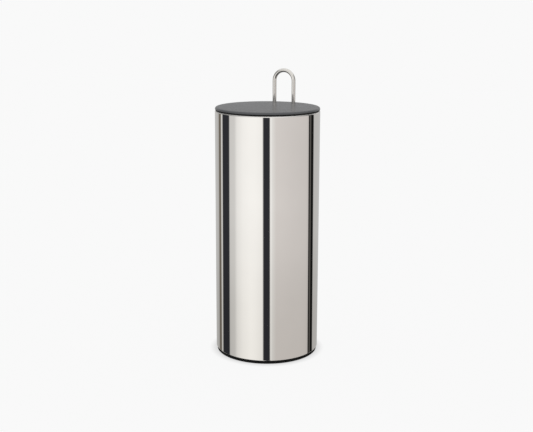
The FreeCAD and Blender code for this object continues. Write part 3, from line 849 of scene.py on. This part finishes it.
def zinc_steel():
    """Zinc-plated steel with a fine crystalline mottle."""
    finish = Finish("zinc_steel", Metallic=1)
    finish.tint(finish.noise(scale=500, detail=4), dark=(0.5, 0.5, 0.48), pale=(0.66, 0.66, 0.65))
    finish.gloss(finish.noise(scale=900, detail=3), smooth=0.25, rough=0.4)
    finish.bump(finish.noise(scale=4000, detail=2), distance=0.00001)
    return finish.material


def moulded_plastic(name, dark, pale, smooth, rough, grain):
    """A satin moulding: a fine spark-eroded grain and slightly uneven gloss."""
    finish = Finish(name, IOR=1.46)
    finish.tint(finish.noise(scale=35, detail=4), dark, pale)
    finish.gloss(finish.noise(scale=120, detail=3), smooth, rough)
    finish.bump(finish.noise(scale=2600, detail=2), distance=grain)
    return finish.material


def matt_finish(name, dark, pale, smooth, rough):
    """A matt rubber or plastic with a faint bloom."""
    finish = Finish(name, IOR=1.5, Specular_IOR_Level=0.1)
    finish.tint(finish.noise(scale=90, detail=4), dark, pale)
    finish.gloss(finish.noise(scale=300, detail=3), smooth, rough)
    finish.bump(finish.noise(scale=1800, detail=3), distance=0.00002)
    return finish.material


steel = polished_steel()
inside_steel = brushed_steel()
wire_steel = bright_wire()
zinc = zinc_steel()
lid_plastic = moulded_plastic(
    "lid_plastic",
    dark=(0.072, 0.074, 0.079),
    pale=(0.078, 0.08, 0.085),
    smooth=0.27,
    rough=0.31,
    grain=0.000004,
)
base_plastic = moulded_plastic(
    "base_plastic",
    dark=(0.016, 0.016, 0.017),
    pale=(0.022, 0.022, 0.023),
    smooth=0.45,
    rough=0.55,
    grain=0.00002,
)
platform_plastic = moulded_plastic(
    "platform_plastic",
    dark=(0.08, 0.083, 0.089),
    pale=(0.09, 0.093, 0.1),
    smooth=0.4,
    rough=0.5,
    grain=0.00002,
)
# Painted shade for the lid's downward-facing lower round, underside and skirt, which are one moulding with
# its top.
painted_shade_black = matt_finish(
    "painted_shade_black",
    dark=(0.01, 0.01, 0.01),
    pale=(0.014, 0.014, 0.014),
    smooth=0.5,
    rough=0.6,
)
black_rubber = matt_finish(
    "black_rubber",
    dark=(0.004, 0.004, 0.004),
    pale=(0.007, 0.007, 0.007),
    smooth=0.6,
    rough=0.75,
)
grey_silicone = matt_finish(
    "grey_silicone",
    dark=(0.08, 0.08, 0.085),
    pale=(0.1, 0.1, 0.105),
    smooth=0.45,
    rough=0.55,
)

# Each piece, the CAD node it stands for, the body it rides on, its slot and its materials
for piece, node, body, slot, materials in (
    (make_shell(), "canister_shell", "canister", "polished_steel", [steel, inside_steel]),
    (make_base(), "base_cup", "canister", "base_plastic", [base_plastic]),
    (make_foot(), "foot_ring", "canister", "black_rubber", [black_rubber]),
    (make_lid(), "lid_cap", "carrier", "lid_plastic", [lid_plastic, painted_shade_black]),
    (make_gasket(), "lid_gasket", "carrier", "grey_silicone", [grey_silicone]),
    (make_plate(), "lid_underplate", "carrier", "lid_plastic", [lid_plastic]),
    (make_lid_screws(), "lid_screws", "carrier", "zinc_steel", [zinc]),
    (make_clips(), "lid_clips", "carrier", "zinc_steel", [zinc]),
    (make_wire(), "handle_wire", "carrier", "bright_wire", [wire_steel]),
    (make_platform(), "roll_platform", "carrier", "platform_plastic", [platform_plastic]),
    (make_collars(), "leg_collars", "carrier", "bright_wire", [wire_steel]),
    (make_washers(), "platform_washers", "carrier", "zinc_steel", [zinc]),
    (make_platform_screws(), "platform_screws", "carrier", "zinc_steel", [zinc]),
    (make_bumpers(), "platform_bumpers", "carrier", "black_rubber", [black_rubber]),
):
    for material in materials:
        piece.data.materials.append(material)
    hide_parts(node)
    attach(piece, body)

# The camera: its place from the canister's axis in metres, its turns, and its lens in millimetres
CAMERA_AZIMUTH = math.radians(24.45)
CAMERA_REACH = 1.388
CAMERA_HEIGHT = 0.5166
CAMERA_PITCH = math.radians(12.836)
CAMERA_YAW = math.radians(0.042)
CAMERA_ROLL = math.radians(0.198)
CAMERA_LENS = 65.92
SENSOR_WIDTH = 36

camera = bpy.data.objects.new("camera", bpy.data.cameras.new("camera"))
bpy.context.scene.collection.objects.link(camera)
camera.data.sensor_width = SENSOR_WIDTH
camera.data.lens = CAMERA_LENS
camera_place = Matrix.Translation((
    CAMERA_REACH * math.sin(CAMERA_AZIMUTH),
    -CAMERA_REACH * math.cos(CAMERA_AZIMUTH),
    CAMERA_HEIGHT,
))
heading = Matrix.Rotation(CAMERA_AZIMUTH + CAMERA_YAW, 4, "Z")
tilt = Matrix.Rotation(math.pi / 2 - CAMERA_PITCH, 4, "X")
roll = Matrix.Rotation(CAMERA_ROLL, 4, "Z")
camera.matrix_world = camera_place @ heading @ tilt @ roll
bpy.context.scene.camera = camera

# The studio that the steel mirrors: (turn from the camera's side in degrees, grey level or colour)
DARK = (0.03, 0.031, 0.038)
BROWN = (0.16, 0.14, 0.115)
DIM = (0.11, 0.106, 0.1)
BLACK = 0.008
STUDIO_BANDS = (
    (-180, 0.56),
    (-150, 0.56),
    (-137, 0.5),
    (-133, BROWN),
    (-124.5, BROWN),
    (-122.8, 0.7),
    (-118, 0.7),
    (-116.2, DARK),
    (-93.2, DARK),
    (-91.2, 0.67),
    (-77, 0.7),
    (-70, 0.9),
    (-55, 1.01),
    (-40, 1.05),
    (-26, 1.05),
    (-10, 1.0),
    (-8, DARK),
    (5.5, DARK),
    (7.3, 1.05),
    (11, 0.85),
    (20, (0.735, 0.708, 0.703)),
    (60, (0.69, 0.664, 0.66)),
    (96, (0.66, 0.636, 0.631)),
    (103.6, (0.6, 0.578, 0.574)),
    (105, BLACK),
    (108.6, BLACK),
    (109.6, DIM),
    (113, DIM),
    (114, BLACK),
    (123.2, BLACK),
    (125.2, 0.55),
    (180, 0.56),
)
# How much of the panels' light is left near the floor, and what stands above them, in the same form
LOW_SHARES = (
    (-180, 0.82),
    (-92, 0.79),
    (-60, 0.89),
    (-35, 0.93),
    (-12, 0.86),
    (10, 0.8),
    (80, 0.85),
    (180, 0.82),
)
UPPER_BANDS = (
    (-180, 0.5),
    (-150, 0.5),
    (-110, 0.15),
    (-70, 0.4),
    (-35, 0.82),
    (35, 0.82),
    (70, 0.4),
    (110, 0.12),
    (140, 0.75),
    (180, 0.5),
)
# Grey levels of the backdrop, the room and the ceiling, and the tint of the light near the floor
BACKDROP_LEVEL = 0.947
ROOM_LEVEL = 1.0
CEILING_LEVEL = 0.95
LOW_TINT = (1, 0.993, 0.975, 1)
WHITE = (1, 1, 1, 1)
# The camera's side lies in the middle of the ramps around the studio
MIDDLE_SHARE = 0.5
# Heights of a mirrored direction, from -1 straight down to 1 straight up
LOW_HEIGHT = -0.36
FULL_HEIGHT = -0.2
BAND_TOP = 0.0
UPPER_BOTTOM = 0.1
UPPER_TOP = 0.5
CEILING_BOTTOM = 0.65
# The bands' lean about LEAN_HEIGHT: degrees of turn per unit of height, and its growth with the turn
LEAN_HEIGHT = -0.255
LEAN = 9
LEAN_SPREAD = 0.17
# The floor's half width in metres, its share of real light, and the painted shadow in its glow close to the
# foot: how far it reaches and how deep it goes
FLOOR_HALF = 4
FLOOR_LIT_SHARE = 0.04
PAINTED_SHADOW_REACH = 0.012
PAINTED_SHADOW_SHARE = 0.45


def grey(level):
    """An opaque grey of that level."""
    return (level, level, level, 1)


def make_world():
    """Plain white for the light, pale for the camera, and panels with dark gaps for mirror-bright metal."""
    world = bpy.data.worlds.new("studio")
    tree = NodeTree(world)
    tree.nodes.clear()
    world.cycles.sampling_method = "NONE"
    bpy.context.scene.world = world

    def maths(operation, *values):
        node = tree.add("ShaderNodeMath", dict(enumerate(values)), operation=operation)
        return node.outputs[0]

    def rising(value, start, end):
        inputs = {"Value": value, "From Min": start, "From Max": end}
        node = tree.add("ShaderNodeMapRange", inputs, interpolation_type="SMOOTHSTEP")
        return node.outputs["Result"]

    def mixed(factor, first, second, blend="MIX"):
        inputs = {"Fac": factor, "Color1": first, "Color2": second}
        node = tree.add("ShaderNodeMixRGB", inputs, blend_type=blend)
        return node.outputs["Color"]

    def round_ramp(place, table):
        node = tree.add("ShaderNodeValToRGB", {"Fac": place})
        stops = node.color_ramp.elements
        stops.remove(stops[1])
        for number, (degrees, level) in enumerate(table):
            position = degrees / FULL_TURN + MIDDLE_SHARE
            stop = stops.new(position) if number else stops[0]
            stop.position = position
            stop.color = (*level, 1) if isinstance(level, tuple) else grey(level)
        return node.outputs["Color"]

    direction = tree.add("ShaderNodeTexCoord")
    split = tree.add("ShaderNodeSeparateXYZ", {0: direction.outputs["Generated"]})
    across, along, height = split.outputs
    turn = maths("ARCTAN2", across, maths("MULTIPLY", along, -1))
    turn_share = maths("MULTIPLY_ADD", turn, 1 / math.tau, -CAMERA_AZIMUTH / math.tau)
    turn_share = maths("WRAP", turn_share, MIDDLE_SHARE, -MIDDLE_SHARE)
    facing = maths("ADD", turn_share, MIDDLE_SHARE)
    lean = maths("MULTIPLY_ADD", turn_share, LEAN_SPREAD, LEAN / FULL_TURN)
    leaning = maths("MULTIPLY_ADD", lean, maths("SUBTRACT", height, LEAN_HEIGHT), facing)

    low_light = mixed(1, round_ramp(facing, LOW_SHARES), LOW_TINT, "MULTIPLY")
    light = mixed(rising(height, LOW_HEIGHT, FULL_HEIGHT), low_light, WHITE)
    panels = mixed(1, round_ramp(leaning, STUDIO_BANDS), light, "MULTIPLY")
    ceiling_share = rising(height, UPPER_TOP, CEILING_BOTTOM)
    upper = mixed(ceiling_share, round_ramp(facing, UPPER_BANDS), grey(CEILING_LEVEL))
    mirrored = mixed(rising(height, BAND_TOP, UPPER_BOTTOM), panels, upper)
    rays = tree.add("ShaderNodeLightPath")
    seen = mixed(rays.outputs["Is Camera Ray"], grey(ROOM_LEVEL), grey(BACKDROP_LEVEL))
    shown = mixed(rays.outputs["Is Glossy Ray"], seen, mirrored)
    background = tree.add("ShaderNodeBackground", {"Color": shown})
    tree.add("ShaderNodeOutputWorld", {"Surface": background.outputs[0]})


def make_floor():
    """The pale floor: an even glow for the camera with a painted shadow that darkens it near the foot, and
    a share of real light.
    """
    corners = [
        (-FLOOR_HALF, -FLOOR_HALF, 0),
        (FLOOR_HALF, -FLOOR_HALF, 0),
        (FLOOR_HALF, FLOOR_HALF, 0),
        (-FLOOR_HALF, FLOOR_HALF, 0),
    ]
    floor = mesh_piece("floor", corners, [(0, 1, 2, 3)])
    floor.visible_glossy = False
    material = bpy.data.materials.new("pale_floor")
    tree = NodeTree(material)
    tree.nodes.clear()
    backdrop = grey(BACKDROP_LEVEL)
    lit = tree.add("ShaderNodeBsdfDiffuse", {"Color": backdrop})
    # Painted shadow: occlusion within a short reach of the foot darkens the glow, not the lights.
    shadow_occlusion = tree.add("ShaderNodeAmbientOcclusion", {"Distance": PAINTED_SHADOW_REACH})
    painted_shadow = tree.add("ShaderNodeMapRange", {
        "Value": shadow_occlusion.outputs["AO"],
        "To Min": 1 - PAINTED_SHADOW_SHARE,
        "To Max": 1,
    })
    glow = tree.add("ShaderNodeEmission", {"Color": backdrop, "Strength": painted_shadow.outputs["Result"]})
    rays = tree.add("ShaderNodeLightPath")
    glow_inputs = {0: rays.outputs["Is Camera Ray"], 1: 1 - FLOOR_LIT_SHARE}
    glow_share = tree.add("ShaderNodeMath", glow_inputs, operation="MULTIPLY")
    mix = tree.add("ShaderNodeMixShader", {
        "Fac": glow_share.outputs[0],
        1: lit.outputs[0],
        2: glow.outputs[0],
    })
    tree.add("ShaderNodeOutputMaterial", {"Surface": mix.outputs[0]})
    floor.data.materials.append(material)


make_world()
make_floor()
bpy.context.scene.view_settings.view_transform = "Standard"
